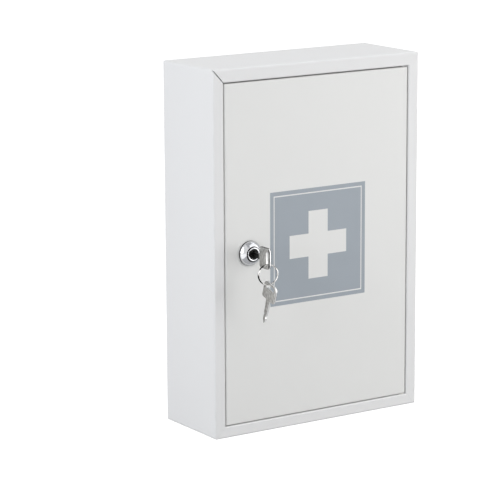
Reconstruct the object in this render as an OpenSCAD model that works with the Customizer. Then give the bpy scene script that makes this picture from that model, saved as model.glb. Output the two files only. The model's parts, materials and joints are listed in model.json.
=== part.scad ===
// Lockable medicine cabinet of folded sheet steel, with a hinged door, a cam lock, two keys and a ring.
// Millimetres. +X is right, +Y is back, +Z is up. The origin is the middle of the underside.

/* [Cabinet] */
// Width of the cabinet
cabinet_w = 215; // [185:1:400]
// Depth of the cabinet without the lock
cabinet_d = 80; // [74:1:160]
// Height of the cabinet
cabinet_h = 320; // [250:1:600]
// Thickness of the sheet steel
sheet_t = 0.8; // [0.6:0.1:1]
// Outside radius of the folds between the sides and the front flange
fold_r = 1.8; // [1.5:0.1:2.5]
// How much rounder the corners between the sides, the top and the bottom are than the folds
corner_extra = 0.6; // [0.3:0.1:2]
// Width of the front flange at the sides
flange_w = 10.8; // [9:0.1:16]
// Width of the front flange along the top
top_flange_w = 11.7; // [9:0.1:16]
// Width of the front flange along the bottom
bottom_flange_w = 10.2; // [9:0.1:16]
// Outside radius of the fold between the front flange and the lip
lip_fold_r = 1.2; // [1.2:0.1:1.5]
// Depth of the lip, from the front of the cabinet
lip_d = 12; // [11.6:0.1:12.1]
// Width of the flange round the back
back_flange_w = 12; // [8:0.5:20]
// Width of the open seam at the top left corner of the front flange
open_seam = 0.8; // [0.2:0.05:1.2]
// Width of the other corner seams
closed_seam = 0.1; // [0.05:0.05:0.2]
// How far the corner seams reach behind the fold
seam_relief = 0.4; // [0.2:0.1:1]

/* [Back panel] */
// Radius of the wall screw holes
wall_hole_r = 3; // [2:0.1:5]
// Distance of the wall screw holes from the sides, the top and the bottom
wall_hole_inset = 32.5; // [22:0.5:60]
// Clearance between the back panel and the folds round it
panel_clearance = 0.2; // [0.1:0.05:1]

/* [Shelf] */
// Height of the shelf's upper face above the underside
shelf_z = 150; // [60:1:200]
// Distance from the front of the cabinet to the shelf
shelf_setback = 20; // [19:0.5:40]
// Depth of the shelf's down-turned edges
shelf_edge = 10; // [5:0.5:20]
// Outside radius of the shelf's folds
shelf_fold_r = 1.5; // [1.3:0.1:2.5]

/* [Door] */
// Gap at each side of the door
side_gap = 1; // [0.8:0.1:1.3]
// Gap under the door
bottom_gap = 0.7; // [0.7:0.05:1.5]
// Gap over the door
top_gap = 1; // [0.8:0.05:2.5]
// Distance of the door's face behind the front of the cabinet
door_inset = 0.3; // [0.1:0.05:0.5]
// Depth of the door's folded edges
door_edge = 10; // [8:0.1:10.5]
// Outside radius of the door's folds
door_fold_r = 1.3; // [1.3:0.1:1.8]
// Width of the seams at the corners of the door's edges
door_seam = 0.2; // [0.1:0.05:0.4]

/* [Hinge] */
// Radius of the hinge pins
pin_r = 1; // [0.8:0.05:1.2]
// Radial clearance of the pins in the door
pin_clearance = 0.05; // [0.03:0.01:0.08]
// Distance of the pins from the side of the door opening
pin_side = 4.2; // [4.1:0.05:4.6]
// Distance of the pins behind the front of the cabinet
pin_depth = 3; // [3:0.05:3.3]
// Radius of a pin's head
pin_head_r = 1.5; // [1.2:0.1:1.5]
// Thickness of a pin's head
pin_head_t = 0.8; // [0.5:0.1:1.5]
// How far a pin passes through the door's edge
pin_through = 1.2; // [0.6:0.1:3]
// Radius of the washer under the door
hinge_washer_r = 2.6; // [2:0.1:3]
// Running gap between the washer and the door
hinge_washer_gap = 0.1; // [0.05:0.05:0.3]

/* [Door stop] */
// Height of a stop tab
tab_h = 14; // [10:0.5:24]
// Distance of the stop tabs from the top and the bottom of the door opening
tab_inset = 45; // [20:1:70]
// How far a stop tab reaches behind the door, from the lip
tab_reach = 6; // [5.5:0.1:9]
// Gap between the back edge of the lip and the stop tabs' inner legs
tab_gap = 0.4; // [0.2:0.1:0.6]
// Radius of a bumper
bumper_r = 2.5; // [2:0.1:2.6]
// Gap between the bumpers and the closed door
bumper_gap = 0.3; // [0.2:0.05:0.5]

/* [Printed emblem] */
// Width and height of the printed square
emblem_w = 100; // [60:1:105]
// Distance of the open frame line from the edge of the print
emblem_margin = 3.5; // [2:0.1:8]
// Width of the open frame line
emblem_line = 1.1; // [0.6:0.1:3]
// Width and height of the cross
cross_w = 60; // [30:1:80]
// Width of the cross's arms
cross_arm = 20.4; // [8:0.1:28]
// Thickness of the print
print_t = 0.1; // [0.05:0.05:0.2]

/* [Lock] */
// Distance of the lock's axis from the side of the door opening
lock_backset = 25.7; // [24:0.1:30]
// Radius of the rosette
rosette_r = 11; // [10:0.1:13]
// Height of the rosette's rim
rosette_rim = 0.9; // [0.5:0.1:1.5]
// Radius of the rosette's dome
dome_r = 7.5; // [7:0.1:12]
// Radius at which the dome meets the front ring
dome_top_r = 7; // [6.9:0.05:7.4]
// Height at which the dome meets the front ring
dome_top = 5.7; // [5:0.1:6]
// Radius of the front ring
ring_face_r = 6.65; // [6.3:0.05:6.8]
// How far the lock stands out of the door
lock_out = 6.5; // [6.2:0.1:8]
// Radius of the barrel
barrel_r = 8; // [7.5:0.1:9]
// Distance across the barrel's flats
barrel_flats = 14; // [13:0.1:15]
// Clearance of the barrel in the door
barrel_clearance = 0.1; // [0.05:0.05:0.3]
// How far the end of the barrel lies behind the door's face
barrel_l = 12.3; // [12.2:0.05:12.4]
// Radial clearance of the nut and the washer on the barrel
thread_clearance = 0.05; // [0.03:0.01:0.1]
// Radius of the washer behind the door
lock_washer_r = 10.5; // [10:0.1:12]
// Thickness of the washer behind the door
lock_washer_t = 0.8; // [0.5:0.1:1.2]
// Width of the nut across its flats
nut_flats = 19; // [18:0.5:22]
// Thickness of the nut
nut_t = 3; // [2:0.1:5]

/* [Lock core] */
// Radius of the core
plug_r = 5.2; // [5:0.05:5.3]
// Radial clearance of the core in the barrel
plug_clearance = 0.05; // [0.03:0.01:0.08]
// Radius of the core's head
plug_head_r = 5.6; // [5.4:0.05:5.7]
// Thickness of the core's head
plug_head_t = 0.9; // [0.6:0.1:1.5]
// How far the core's face lies inside the front ring
plug_recess = 0.6; // [0.2:0.1:1]
// How far the core reaches past the barrel's end
plug_past = 0.2; // [0.1:0.05:0.3]
// Number of wafers
wafer_count = 4; // [3:1:4]
// Distance from one wafer to the next
wafer_pitch = 2.4; // [2:0.1:2.5]
// Distance of the first wafer behind the core's face
first_wafer = 3; // [2.5:0.1:3.4]
// Thickness of a wafer
wafer_t = 1; // [0.7:0.05:1.2]
// Clearance of the wafers and springs in the core
wafer_clearance = 0.05; // [0.03:0.01:0.08]
// Distance of a wafer's plain side from the lock's axis
wafer_side = 3.2; // [2.8:0.1:3.6]
// Height of a wafer's lug above the lock's axis
lug_low = 1; // [0.6:0.1:1.4]
// Thickness of a wafer's lug
lug_h = 1.2; // [0.8:0.1:1.6]
// Radius of a wafer's spring
wafer_spring_r = 0.5; // [0.3:0.05:0.55]
// Room round a spring in its pocket
spring_room = 0.2; // [0.1:0.05:0.25]
// Depth of the spring pockets below the lock's axis
pocket_depth = 2.9; // [2:0.1:3.2]
// Wall between the keyway and the spring pockets
pocket_wall = 0.9; // [0.7:0.05:1]

/* [Cam] */
// Length of the cam from the lock's axis to its tip
cam_l = 33; // [31:0.5:34]
// Width of the cam
cam_w = 12; // [10:0.5:14]
// Thickness of the cam
cam_t = 2; // [1.5:0.1:2.2]
// Width of the core's square tail
tail_w = 5; // [4:0.1:5.6]
// Clearance of the cam on the square tail
tail_clearance = 0.05; // [0.03:0.01:0.15]
// Radius of the cam's washer
cam_washer_r = 4.5; // [4:0.1:6]
// Thickness of the cam's washer
cam_washer_t = 0.6; // [0.4:0.1:0.8]
// Radius of the cam's screw
screw_r = 1.5; // [1.2:0.1:1.8]
// Length of the cam's screw under its head
screw_l = 5; // [4:0.1:6]
// Radius of the screw's head
screw_head_r = 3; // [2.4:0.1:3.6]
// Thickness of the screw's head
screw_head_t = 1.9; // [1.2:0.1:1.9]
// Length of the cross recess in the screw's head
recess_l = 3.6; // [2:0.1:4.4]
// Width of the cross recess
recess_w = 0.8; // [0.4:0.05:1]
// Depth of the cross recess
recess_d = 1; // [0.4:0.05:1.1]

/* [Keys] */
// Thickness of a key
key_t = 1.9; // [1.6:0.05:2]
// Length of a key's bow
bow_l = 15.3; // [14:0.1:18]
// Width of a key's bow
bow_w = 18.4; // [17:0.2:20]
// Radius of the bow's outer corners
bow_far_r = 4; // [3:0.1:5]
// Radius of the bow's corners at the blade
bow_near_r = 2.4; // [1.5:0.1:4]
// Length of the slot across the bow
slot_l = 12.6; // [10:0.1:12.6]
// Width of the slot
slot_w = 4; // [3.8:0.1:4.4]
// Distance from the slot to the end of the bow
slot_web = 1.6; // [1.4:0.1:2.4]
// Length of a key's blade
blade_l = 21.7; // [20.5:0.1:22]
// Width of a key's blade
blade_w = 5.5; // [4.5:0.1:5.8]
// Length of the blade that stands out of the lock
neck_l = 10.4; // [9.5:0.1:11]
// Depth of the deepest cut in the blade
cut_depth = 1.2; // [0.6:0.1:1.4]
// Clearance between the key and the keyway
keyway_clearance = 0.1; // [0.05:0.05:0.15]

/* [Key ring] */
// Radius of the ring at the middle of its wire
ring_r = 8.7; // [8:0.1:12]
// Radius of the wire
wire_r = 0.5; // [0.4:0.05:0.6]
// How far the ring is turned from the plane of the door
ring_yaw = 13; // [0:1:15]
// Free play of the wire in a key's slot
ring_play = 0.25; // [0.1:0.05:0.35]
// Lean of the hanging key towards the door
spare_lean = 18; // [10:0.5:20]

/* [Hidden] */
$fn = 72;

// Reach of a cutting shape past what it cuts
past = 1;

front_y = -cabinet_d / 2;
back_y = cabinet_d / 2;
inner_w = cabinet_w - 2 * sheet_t;

// Door opening, between the lips
opening_x = cabinet_w / 2 - flange_w;
opening_low = bottom_flange_w;
opening_high = cabinet_h - top_flange_w;

door_w = 2 * (opening_x - side_gap);
door_low = opening_low + bottom_gap;
door_high = opening_high - top_gap;
door_h = door_high - door_low;
door_y = front_y + door_inset;
door_back_y = door_y + door_edge;

pin_x = opening_x - pin_side;
pin_y = front_y + pin_depth;

// The lock and the emblem stand at the middle of the cabinet's height
lock_x = -opening_x + lock_backset;
lock_z = cabinet_h / 2;

// Places on the lock's axis, measured outwards from the door's face
plug_face = lock_out - plug_recess;
plug_end = -barrel_l - plug_past;
cam_end = plug_end - cam_t;
tail_end = cam_end + tail_clearance;
cam_washer_end = cam_end - cam_washer_t;
bow_start = plug_face + neck_l;
blade_tip = bow_start - blade_l;

keyway_w = key_t + 2 * keyway_clearance;
keyway_h = blade_w + 4 * keyway_clearance;
wafer_slot_t = wafer_t + 2 * wafer_clearance;
// A wafer reaches from its plain side to the spring pocket, and its lug covers the pocket
pocket_start = keyway_w / 2 + pocket_wall;
pocket_w = 2 * wafer_spring_r + 2 * spring_room;

slot_r = slot_w / 2;
slot_mid = bow_l - slot_web - slot_r;
// Distance of the wire's middle from the middle of the slot's round end
ring_seat = slot_r - 2 * wire_r - ring_play;
ring_drop = slot_l / 2 - slot_r + ring_seat;
// The two turns of the ring lie side by side, pressed together by a tenth of the wire
turn_pitch = 1.8 * wire_r;
// Top of the ring, where it hangs in the key's slot
ring_top = [0, -ring_drop, bow_start + slot_mid];

// Sheets

// Sheet bent through a quarter turn, round the origin, in the quarter where both coordinates are negative
module fold(r) {
    difference() {
        intersection() {
            circle(r);
            translate([-r, -r]) square(r);
        }
        circle(r - sheet_t);
    }
}

// Section of the lip and the edge it folds from: X is across the opening, half each way, Y is back
module lip_section(half) {
    for (m = [0, 1])
        mirror([m, 0]) {
            translate([half + lip_fold_r, 0]) square([past, sheet_t]);
            translate([half + lip_fold_r, lip_fold_r]) fold(lip_fold_r);
            translate([half, lip_fold_r]) square([sheet_t, lip_d - lip_fold_r]);
        }
}

// The same section, filled from side to side
module filled_lip_section(half) {
    w = half + lip_fold_r + past;
    bend = lip_fold_r - sheet_t;
    difference() {
        translate([-w, 0]) square([2 * w, lip_d]);
        for (m = [0, 1])
            mirror([m, 0]) translate([half + lip_fold_r, lip_fold_r]) {
                circle(bend);
                translate([-bend, 0]) square([bend + 2 * past, lip_d]);
                translate([0, -bend]) square([2 * past, lip_d]);
            }
    }
}

// Lip round the opening: the sides run into the top and bottom at each corner, and end in their sheet
module lip_frame() {
    half_h = (opening_high - opening_low) / 2;
    translate([0, 0, (opening_low + opening_high) / 2])
        for (halves = [[opening_x, half_h, 0], [half_h, opening_x, 90]])
            rotate([0, halves[2], 0]) intersection() {
                linear_extrude(2 * (halves[1] + lip_fold_r + 2 * past), center = true) lip_section(halves[0]);
                rotate([0, 90, 0]) linear_extrude(2 * (halves[0] + lip_fold_r + 2 * past), center = true)
                    filled_lip_section(halves[1]);
            }
}

// Cuts of the seams across the front flange, from the cabinet's corners to those of the door opening
module corner_seams() {
    reach = past + fold_r + seam_relief;
    for (x = [-1, 1], z = [-1, 1]) {
        seam = x < 0 && z > 0 ? open_seam : closed_seam;
        w = z > 0 ? top_flange_w : bottom_flange_w;
        l = norm([flange_w, w]);
        translate([x * cabinet_w / 2, front_y - past, cabinet_h / 2 + z * cabinet_h / 2])
            rotate([0, -x * z * atan2(w, flange_w), 0]) translate([-x * l / 2, reach / 2, 0])
                cube([l + past, reach, seam], center = true);
    }
}

module rounded_rect(w, h, r) {
    square([w - 2 * r, h], center = true);
    square([w, h - 2 * r], center = true);
    for (x = [-1, 1], y = [-1, 1]) translate([x * (w / 2 - r), y * (h / 2 - r)]) circle(r);
}

// Cabinet's outer shape with all its edges rounded, less inset all round
module rounded_box(inset) {
    w = cabinet_w - 2 * inset;
    d = cabinet_d - 2 * inset;
    h = cabinet_h - 2 * inset;
    r = fold_r - inset;
    translate([0, 0, cabinet_h / 2]) intersection() {
        rotate([90, 0, 0]) linear_extrude(d, center = true) rounded_rect(w, h, r + corner_extra);
        linear_extrude(h, center = true) rounded_rect(w, d, r);
        rotate([90, 0, 90]) linear_extrude(w, center = true) rounded_rect(d, h, r);
    }
}

module soft_edge_section(w, d, r) {
    translate([-w / 2, r]) square([w, d - r]);
    translate([-w / 2 + r, 0]) square([w - 2 * r, d]);
    for (x = [-1, 1]) translate([x * (w / 2 - r), r]) circle(r);
}

// Block with its face at z = 0 and that face's four edges rounded
module soft_block(w, l, d, r) {
    intersection() {
        rotate([90, 0, 0]) linear_extrude(l, center = true) soft_edge_section(w, d, r);
        rotate([90, 0, 90]) linear_extrude(w, center = true) soft_edge_section(l, d, r);
    }
}

// Sheet with four folded edges, its face at z = 0 and its edges towards +Z
module folded_tray(w, l, d, r, seam) {
    difference() {
        soft_block(w, l, d, r);
        translate([0, 0, sheet_t])
            soft_block(w - 2 * sheet_t, l - 2 * sheet_t, d, r - sheet_t);
        for (x = [-1, 1], y = [-1, 1])
            translate([x * w / 2, y * l / 2, 2 * r + d / 2]) rotate([0, 0, x * y * 45])
                cube([4 * sheet_t, seam, d], center = true);
    }
}

// Lock and key shapes

// Puts a shape on the lock's axis, with +Z out of the door and +Y up
module on_lock() {
    translate([lock_x, door_y, lock_z]) rotate([90, 0, 0]) children();
}

module tube(r_out, r_in, low, high) {
    translate([0, 0, low]) difference() {
        cylinder(h = high - low, r = r_out);
        translate([0, 0, -past]) cylinder(h = high - low + 2 * past, r = r_in);
    }
}

// Circle with two flats across Y
module flatted_circle(r, flats) {
    intersection() {
        circle(r);
        square([2 * r + past, flats], center = true);
    }
}

// Half section of the rosette, with the dome as an arc through its rim and its top
module rosette_section() {
    mid = [(rosette_r + dome_top_r) / 2, (rosette_rim + dome_top) / 2];
    chord = [dome_top_r - rosette_r, dome_top - rosette_rim];
    half = norm(chord) / 2;
    back = sqrt(dome_r * dome_r - half * half) / norm(chord);
    bore = plug_r + plug_clearance;
    intersection() {
        translate([mid[0] - chord[1] * back, mid[1] + chord[0] * back]) circle(dome_r);
        translate([bore, 0]) square([rosette_r - bore, dome_top]);
    }
    translate([bore, 0]) square([rosette_r - bore, rosette_rim]);
    translate([bore, 0]) square([ring_face_r - bore, lock_out]);
}

module wafer_places() {
    for (i = [0 : wafer_count - 1])
        translate([0, 0, plug_face - first_wafer - i * wafer_pitch]) children();
}

// Space of one wafer and its spring in the core
module wafer_slot() {
    translate([-wafer_side - wafer_clearance, -plug_r - past, -wafer_slot_t / 2])
        cube([wafer_side + pocket_start + wafer_clearance, 2 * (plug_r + past), wafer_slot_t]);
    translate([pocket_start - past, -pocket_depth, -wafer_slot_t / 2])
        cube([pocket_w + past, plug_r + past + pocket_depth, wafer_slot_t]);
}

module wafer() {
    intersection() {
        cylinder(h = wafer_t, r = plug_r - wafer_clearance, center = true);
        difference() {
            union() {
                translate([-wafer_side, -plug_r, -wafer_t / 2])
                    cube([wafer_side + pocket_start - wafer_clearance, 2 * plug_r, wafer_t]);
                translate([0, lug_low, -wafer_t / 2])
                    cube([pocket_start + pocket_w - wafer_clearance, lug_h, wafer_t]);
            }
            cube([keyway_w, keyway_h, wafer_t + past], center = true);
        }
    }
}

// Outline of a key: X runs from the blade to the bow's end, from the bow's start. Y is across.
module key_outline() {
    difference() {
        union() {
            translate([0, -bow_w / 2 + bow_near_r]) square([bow_l - bow_far_r, bow_w - 2 * bow_near_r]);
            translate([bow_near_r, -bow_w / 2]) square([bow_l - bow_far_r - bow_near_r, bow_w]);
            translate([0, -bow_w / 2 + bow_far_r]) square([bow_l, bow_w - 2 * bow_far_r]);
            for (s = [-1, 1]) {
                translate([bow_near_r, s * (bow_w / 2 - bow_near_r)]) circle(bow_near_r);
                translate([bow_l - bow_far_r, s * (bow_w / 2 - bow_far_r)]) circle(bow_far_r);
            }
            blade_outline();
        }
        square_slot();
    }
}

module square_slot() {
    translate([slot_mid - slot_r, -slot_l / 2 + slot_r]) square([slot_w, slot_l - slot_w]);
    for (s = [-1, 1]) translate([slot_mid, s * (slot_l / 2 - slot_r)]) circle(slot_r);
}

// Depth of each cut, from half to all of the deepest
function cut(i) = cut_depth * (2 + (2 * i) % 3) / 4;

// Blade with a pointed tip and one cut under each wafer
module blade_outline() {
    tip = blade_w / 6;
    difference() {
        polygon([
            [past, -blade_w / 2],
            [past, blade_w / 2],
            [-blade_l + blade_w / 2, blade_w / 2],
            [-blade_l, tip],
            [-blade_l, -tip],
            [-blade_l + blade_w / 2, -blade_w / 2]
        ]);
        for (i = [0 : wafer_count - 1]) {
            x = -neck_l - first_wafer - i * wafer_pitch;
            depth = cut(i);
            side = i % 2 == 0 ? 1 : -1;
            polygon([
                [x - depth - wafer_t / 2, side * blade_w / 2],
                [x - wafer_t / 2, side * (blade_w / 2 - depth)],
                [x + wafer_t / 2, side * (blade_w / 2 - depth)],
                [x + depth + wafer_t / 2, side * blade_w / 2],
                [x, side * blade_w]
            ]);
        }
    }
}

// Key in the plane x = 0, with its bow's end towards +Z and its width along Y
module key_blank() {
    rotate([0, -90, 0]) linear_extrude(key_t, center = true) key_outline();
}

// Two turns of wire side by side, hanging from the origin towards -Y, turned by ring_yaw
module ring_shape() {
    rotate([0, -ring_yaw, 0]) translate([0, -ring_r, 0])
        rotate_extrude() for (s = [-1, 1]) translate([ring_r, s * turn_pitch / 2]) circle(wire_r);
}

// Sub-parts

module cabinet_wrap() {
    // The lip frame takes over from the box's sheet this far inside the flange's edge
    overlap = lip_fold_r + past / 2;
    color("gainsboro") difference() {
        union() {
            difference() {
                rounded_box(0);
                rounded_box(sheet_t);
                translate([0, front_y, (opening_low + opening_high) / 2])
                    cube([2 * (opening_x + overlap), 2 * past + sheet_t,
                        opening_high - opening_low + 2 * overlap], center = true);
                translate([0, back_y, cabinet_h / 2])
                    cube([cabinet_w - 2 * back_flange_w, 2 * past + sheet_t, cabinet_h - 2 * back_flange_w],
                        center = true);
            }
            translate([0, front_y, 0]) lip_frame();
        }
        corner_seams();
        for (z = [opening_low - sheet_t / 2, opening_high + sheet_t / 2])
            translate([pin_x, pin_y, z])
                cylinder(h = 2 * sheet_t, r = pin_r + pin_clearance, center = true);
    }
}

module back_panel() {
    w = cabinet_w - 2 * (fold_r + panel_clearance);
    h = cabinet_h - 2 * (fold_r + panel_clearance);
    color("gainsboro") translate([0, back_y - sheet_t, cabinet_h / 2]) rotate([90, 0, 0])
        linear_extrude(sheet_t) difference() {
            square([w, h], center = true);
            for (x = [-1, 1], y = [-1, 1])
                translate([x * (cabinet_w / 2 - wall_hole_inset), y * (cabinet_h / 2 - wall_hole_inset)])
                    circle(wall_hole_r);
        }
}

module shelf() {
    back = back_y - 2 * sheet_t;
    depth = back - front_y - shelf_setback;
    color("gainsboro") translate([0, back - depth / 2, shelf_z]) mirror([0, 0, 1])
        folded_tray(inner_w, depth, shelf_edge, shelf_fold_r, door_seam);
}

// Headed pin, its shank towards +Z from under the head
module hinge_pin(l) {
    translate([0, 0, -pin_head_t]) cylinder(h = pin_head_t, r = pin_head_r);
    translate([0, 0, -pin_head_t / 2]) cylinder(h = l + pin_head_t / 2, r = pin_r);
}

module hinge_pin_top() {
    color("white") translate([pin_x, pin_y, opening_high + sheet_t]) mirror([0, 0, 1])
        hinge_pin(top_gap + 2 * sheet_t + pin_through);
}

module hinge_pin_bottom() {
    color("white") translate([pin_x, pin_y, opening_low - sheet_t])
        hinge_pin(bottom_gap + 2 * sheet_t + pin_through);
}

module hinge_washer_bottom() {
    color("white") translate([pin_x, pin_y, 0])
        tube(hinge_washer_r, pin_r + pin_clearance, opening_low, door_low - hinge_washer_gap);
}

module stop_places() {
    for (z = [opening_low + tab_inset, opening_high - tab_inset])
        translate([-opening_x - sheet_t, front_y + lip_d, z]) children();
}

module stop_tabs() {
    leg = lip_d / 2;
    color("gainsboro") stop_places() {
        translate([-sheet_t, -leg, -tab_h / 2]) cube([sheet_t, leg + tab_gap + sheet_t, tab_h]);
        translate([-sheet_t, tab_gap, -tab_h / 2]) cube([tab_reach + 2 * sheet_t, sheet_t, tab_h]);
    }
}

module stop_bumpers() {
    thickness = front_y + lip_d + tab_gap - door_back_y - bumper_gap;
    color("dimgray") stop_places()
        translate([sheet_t + tab_reach / 2, tab_gap, 0]) rotate([90, 0, 0])
            cylinder(h = thickness, r = bumper_r);
}

module door_panel() {
    color("whitesmoke") difference() {
        translate([0, door_y, (door_low + door_high) / 2]) rotate([-90, 0, 0])
            folded_tray(door_w, door_h, door_edge, door_fold_r, door_seam);
        on_lock() translate([0, 0, -barrel_l / 2]) linear_extrude(barrel_l)
            flatted_circle(barrel_r + barrel_clearance, barrel_flats + 2 * barrel_clearance);
        for (z = [door_low + sheet_t / 2, door_high - sheet_t / 2])
            translate([pin_x, pin_y, z])
                cylinder(h = 2 * sheet_t, r = pin_r + pin_clearance, center = true);
    }
}

module emblem_print() {
    inner = emblem_w - 2 * (emblem_margin + emblem_line);
    color("lightslategray") translate([0, door_y, cabinet_h / 2]) rotate([90, 0, 0])
        linear_extrude(print_t) {
            difference() {
                square(emblem_w, center = true);
                square(emblem_w - 2 * emblem_margin, center = true);
            }
            difference() {
                square(inner, center = true);
                square([cross_w, cross_arm], center = true);
                square([cross_arm, cross_w], center = true);
            }
        }
}

module lock_housing() {
    color("silver") on_lock() difference() {
        union() {
            rotate_extrude() rosette_section();
            translate([0, 0, -barrel_l]) linear_extrude(barrel_l) difference() {
                flatted_circle(barrel_r, barrel_flats);
                circle(plug_r + plug_clearance);
            }
        }
        translate([0, 0, plug_face - plug_head_t - plug_clearance])
            cylinder(h = lock_out, r = plug_head_r + plug_clearance);
    }
}

module lock_washer() {
    color("silver") on_lock()
        tube(lock_washer_r, barrel_r + thread_clearance, -sheet_t - lock_washer_t, -sheet_t);
}

module lock_nut() {
    face = -sheet_t - lock_washer_t;
    color("silver") on_lock() translate([0, 0, face - nut_t]) linear_extrude(nut_t) difference() {
        circle(nut_flats / sqrt(3), $fn = 6);
        circle(barrel_r + thread_clearance);
    }
}

module lock_plug() {
    color("black") on_lock() difference() {
        union() {
            translate([0, 0, plug_end]) cylinder(h = plug_face - plug_end, r = plug_r);
            translate([0, 0, plug_face - plug_head_t]) cylinder(h = plug_head_t, r = plug_head_r);
            translate([-tail_w / 2, -tail_w / 2, tail_end])
                cube([tail_w, tail_w, plug_end - tail_end + past]);
        }
        translate([-keyway_w / 2, -keyway_h / 2, blade_tip - past])
            cube([keyway_w, keyway_h, plug_face - blade_tip + 2 * past]);
        wafer_places() wafer_slot();
        translate([0, 0, cam_washer_end + cam_washer_t - past]) cylinder(h = screw_l + past, r = screw_r);
    }
}

module lock_wafers() {
    color("goldenrod") on_lock() wafer_places() wafer();
}

module wafer_springs() {
    color("silver") on_lock() wafer_places()
        translate([pocket_start + pocket_w / 2, lug_low, 0]) rotate([90, 0, 0])
            cylinder(h = lug_low + pocket_depth, r = wafer_spring_r);
}

module lock_cam() {
    hole = tail_w + 2 * tail_clearance;
    color("silver") on_lock() translate([0, 0, cam_end]) linear_extrude(cam_t) difference() {
        union() {
            circle(cam_w / 2);
            translate([-cam_w / 2, -cam_l + cam_w / 2]) square([cam_w, cam_l - cam_w / 2]);
            translate([-cam_w / 2 + fold_r, -cam_l]) square([cam_w - 2 * fold_r, cam_w]);
            for (s = [-1, 1]) translate([s * (cam_w / 2 - fold_r), -cam_l + fold_r]) circle(fold_r);
            translate([-cam_w / 2, -cam_l + fold_r]) square([cam_w, cam_w]);
        }
        square(hole, center = true);
    }
}

module cam_washer() {
    color("silver") on_lock() tube(cam_washer_r, screw_r + thread_clearance, cam_washer_end, cam_end);
}

module cam_screw() {
    color("silver") on_lock() translate([0, 0, cam_washer_end]) difference() {
        union() {
            cylinder(h = screw_l, r = screw_r - thread_clearance);
            translate([0, 0, -screw_head_t]) cylinder(h = screw_head_t, r = screw_head_r);
        }
        for (a = [0, 90]) rotate([0, 0, a]) translate([0, 0, -screw_head_t])
            cube([recess_l, recess_w, 2 * recess_d], center = true);
    }
}

module key() {
    color("darkgray") on_lock() translate([0, 0, bow_start]) key_blank();
}

module key_ring() {
    color("silver") on_lock() translate(ring_top) ring_shape();
}

// Hangs by the end of its slot from the bottom of the ring, with its bow up
module spare_key() {
    seat = [0, slot_l / 2 - slot_r + ring_seat * sin(spare_lean), slot_mid + ring_seat * cos(spare_lean)];
    color("darkgray") on_lock() translate(ring_top - [0, 2 * ring_r, 0])
        rotate([spare_lean - 90, 0, 0]) translate(-seat) key_blank();
}

cabinet_wrap();
back_panel();
shelf();
hinge_pin_top();
hinge_pin_bottom();
hinge_washer_bottom();
stop_tabs();
stop_bumpers();
door_panel();
emblem_print();
lock_housing();
lock_washer();
lock_nut();
lock_plug();
lock_wafers();
wafer_springs();
lock_cam();
cam_washer();
cam_screw();
key();
key_ring();
spare_key();
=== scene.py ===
"""Looks of a lockable medicine cabinet of white powder-coated sheet steel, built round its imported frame.

Metres. +X is to the right across the door, +Y is back towards the wall and +Z is up. The origin is the
middle of the cabinet's underside. Sizes written in millimetres are turned to metres with MM.
"""
import json
import math

import bmesh
import bpy
from mathutils import Matrix, Vector


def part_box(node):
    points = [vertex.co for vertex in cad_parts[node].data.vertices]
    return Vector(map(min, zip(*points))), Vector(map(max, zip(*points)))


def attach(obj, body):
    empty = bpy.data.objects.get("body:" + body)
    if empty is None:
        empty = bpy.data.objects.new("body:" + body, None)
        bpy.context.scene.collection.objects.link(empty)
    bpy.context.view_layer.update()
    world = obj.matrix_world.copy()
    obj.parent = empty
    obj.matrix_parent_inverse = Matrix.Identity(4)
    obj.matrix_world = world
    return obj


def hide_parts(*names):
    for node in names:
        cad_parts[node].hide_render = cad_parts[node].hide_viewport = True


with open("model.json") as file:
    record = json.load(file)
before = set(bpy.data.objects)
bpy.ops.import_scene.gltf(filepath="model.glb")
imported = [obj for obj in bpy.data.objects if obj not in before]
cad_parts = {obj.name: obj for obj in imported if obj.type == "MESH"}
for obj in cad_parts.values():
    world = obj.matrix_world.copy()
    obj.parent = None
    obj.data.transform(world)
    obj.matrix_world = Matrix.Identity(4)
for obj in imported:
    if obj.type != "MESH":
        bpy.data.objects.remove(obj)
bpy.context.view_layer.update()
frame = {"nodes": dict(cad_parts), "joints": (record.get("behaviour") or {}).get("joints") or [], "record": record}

MM = 0.001
JOINT = {joint["name"]: joint for joint in frame["joints"]}


# Places taken from the frame

lock_place = Vector(JOINT["lock_turn"]["pos_m"])
ring_top = Vector(JOINT["ring_swing"]["pos_m"])
ring_bottom = Vector(JOINT["spare_swing"]["pos_m"])
ring_middle = (ring_top + ring_bottom) / 2
cabinet_low, cabinet_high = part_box("cabinet_wrap")
cabinet_middle = (cabinet_low + cabinet_high) / 2
# The lock's own directions: X to the right, Y up and Z out of the door, from the door's face
LOCK_FRAME = Matrix.Translation(lock_place) @ Matrix.Rotation(math.radians(90), 4, "X")


# Sizes of the lock. Heights are out of the door's face, and negative behind it

ROSETTE_R = 11 * MM
ROSETTE_RIM = 0.9 * MM
# The dome is an arc from the rim to the foot of the front ring
DOME_R = 7.5 * MM
DOME_TOP_R = 6.35 * MM
DOME_TOP = 5.7 * MM
DOME_STEPS = 14
# The front ring, and where the painted shade round its foot ends
FACE_R = 5.95 * MM
FOOT_SHADE_END_R = 6.8 * MM
LOCK_OUT = 6.5 * MM
FACE_BEVEL = 0.3 * MM
BEVEL_STEPS = 4
# The collar inside the front ring, which covers the edge of the core's head
COLLAR_R = 4.7 * MM
COLLAR_LOW = 5.95 * MM
# Room for the core: its wider head, then the bore
HEAD_R = 5.65 * MM
HEAD_DEPTH = 4.95 * MM
BORE_R = 5.25 * MM
# The barrel, with one flat at the top and one at the bottom
BARREL_R = 8 * MM
BARREL_END = -12.3 * MM
BARREL_FLAT = 7 * MM
THREAD_START = -0.9 * MM
THREAD_PITCH = 1 * MM
THREAD_DEPTH = 0.5 * MM
THREAD_CLEARANCE = 0.05 * MM
POINTS_PER_PITCH = 6
LOCK_STEPS = 96

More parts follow.
